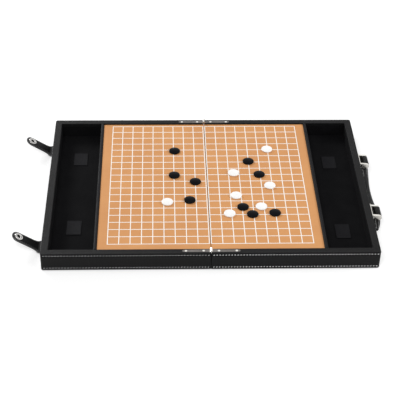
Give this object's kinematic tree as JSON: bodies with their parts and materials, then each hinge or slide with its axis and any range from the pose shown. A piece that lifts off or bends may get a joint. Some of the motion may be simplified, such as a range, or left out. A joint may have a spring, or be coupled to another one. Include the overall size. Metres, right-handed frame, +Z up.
{
  "type": "folding board game case",
  "caption": "Leather-covered folding case, open flat: two hinged half-trays with a lined playing board, end compartments, domed stones, snap straps and a carrying handle",
  "frame": {"origin": "on the bottom of the open case, at the middle of the seam between the two halves", "axes": "+X to the end with the handle, +Y to the back, +Z up out of the board"},
  "size_m": [0.5121, 0.317, 0.0306],
  "materials": {
    "black_leatherette": "fine-grained black leatherette with light grey stitching",
    "divider_leatherette": "smooth black leatherette",
    "strap_leather": "black leather with stitched edges",
    "wall_wood": "plain softwood and plywood, covered",
    "board_face": "orange-tan satin board face",
    "grid_print": "white printed lines",
    "steel_sheet": "thin steel sheet under the board",
    "lining_cloth": "black short-pile lining",
    "hook_tape": "black hook-and-loop tape",
    "plated_steel": "bright nickel-plated steel",
    "black_stone": "glossy black",
    "white_stone": "glossy white"
  },
  "bodies": {
    "left_half": {"front_hinge_pin": "plated_steel", "left_black_stones": "black_stone", "left_board": "board_face", "left_board_supports": "wall_wood", "left_bottom_leather": "black_leatherette", "left_bottom_panel": "wall_wood", "left_divider": "divider_leatherette", "left_end_wall": "wall_wood", "left_front_hinge_leaf": "plated_steel", "left_front_wall": "wall_wood", "left_grid": "grid_print", "left_hinge_screws": "plated_steel", "left_hook_patches": "hook_tape", "left_rear_hinge_leaf": "plated_steel", "left_rear_wall": "wall_wood", "left_rim_leather": "black_leatherette", "left_side_leather": "black_leatherette", "left_spine_wall": "wall_wood", "left_steel_sheet": "steel_sheet", "left_tray_lining": "lining_cloth", "left_white_stones": "white_stone", "rear_hinge_pin": "plated_steel", "strap_roots": "strap_leather"},
    "right_half": {"bracket_screws": "plated_steel", "front_handle_bracket": "plated_steel", "rear_handle_bracket": "plated_steel", "right_black_stones": "black_stone", "right_board": "board_face", "right_board_supports": "wall_wood", "right_bottom_leather": "black_leatherette", "right_bottom_panel": "wall_wood", "right_divider": "divider_leatherette", "right_end_wall": "wall_wood", "right_front_hinge_leaf": "plated_steel", "right_front_wall": "wall_wood", "right_grid": "grid_print", "right_hinge_screws": "plated_steel", "right_hook_patches": "hook_tape", "right_rear_hinge_leaf": "plated_steel", "right_rear_wall": "wall_wood", "right_rim_leather": "black_leatherette", "right_side_leather": "black_leatherette", "right_spine_wall": "wall_wood", "right_steel_sheet": "steel_sheet", "right_tray_lining": "lining_cloth", "right_white_stones": "white_stone", "snap_studs": "plated_steel"},
    "handle": {"front_handle_loop": "strap_leather", "handle_grip": "strap_leather", "rear_handle_loop": "strap_leather"},
    "front_closure": {"front_snap_cap": "plated_steel", "front_snap_socket": "plated_steel", "front_strap": "strap_leather"},
    "rear_closure": {"rear_snap_cap": "plated_steel", "rear_snap_socket": "plated_steel", "rear_strap": "strap_leather"}
  },
  "joints": [
    {"name": "fold", "type": "hinge", "parent": "left_half", "child": "right_half", "pos_m": [0, 0, 0.0286], "axis": [0, -1, 0], "range_deg": [0, 180]},
    {"name": "handle_swing", "type": "hinge", "parent": "right_half", "child": "handle", "pos_m": [0.2389, 0, 0.018], "axis": [0, -1, 0], "range_deg": [0, 180]},
    {"name": "front_strap_bend", "type": "hinge", "parent": "left_half", "child": "front_closure", "pos_m": [-0.2298, -0.1125, 0.0023], "axis": [0, 1, 0], "range_deg": [-12, 57.99]},
    {"name": "rear_strap_bend", "type": "hinge", "parent": "left_half", "child": "rear_closure", "pos_m": [-0.2298, 0.1125, 0.0023], "axis": [0, 1, 0], "range_deg": [-12, 57.99]}
  ]
}
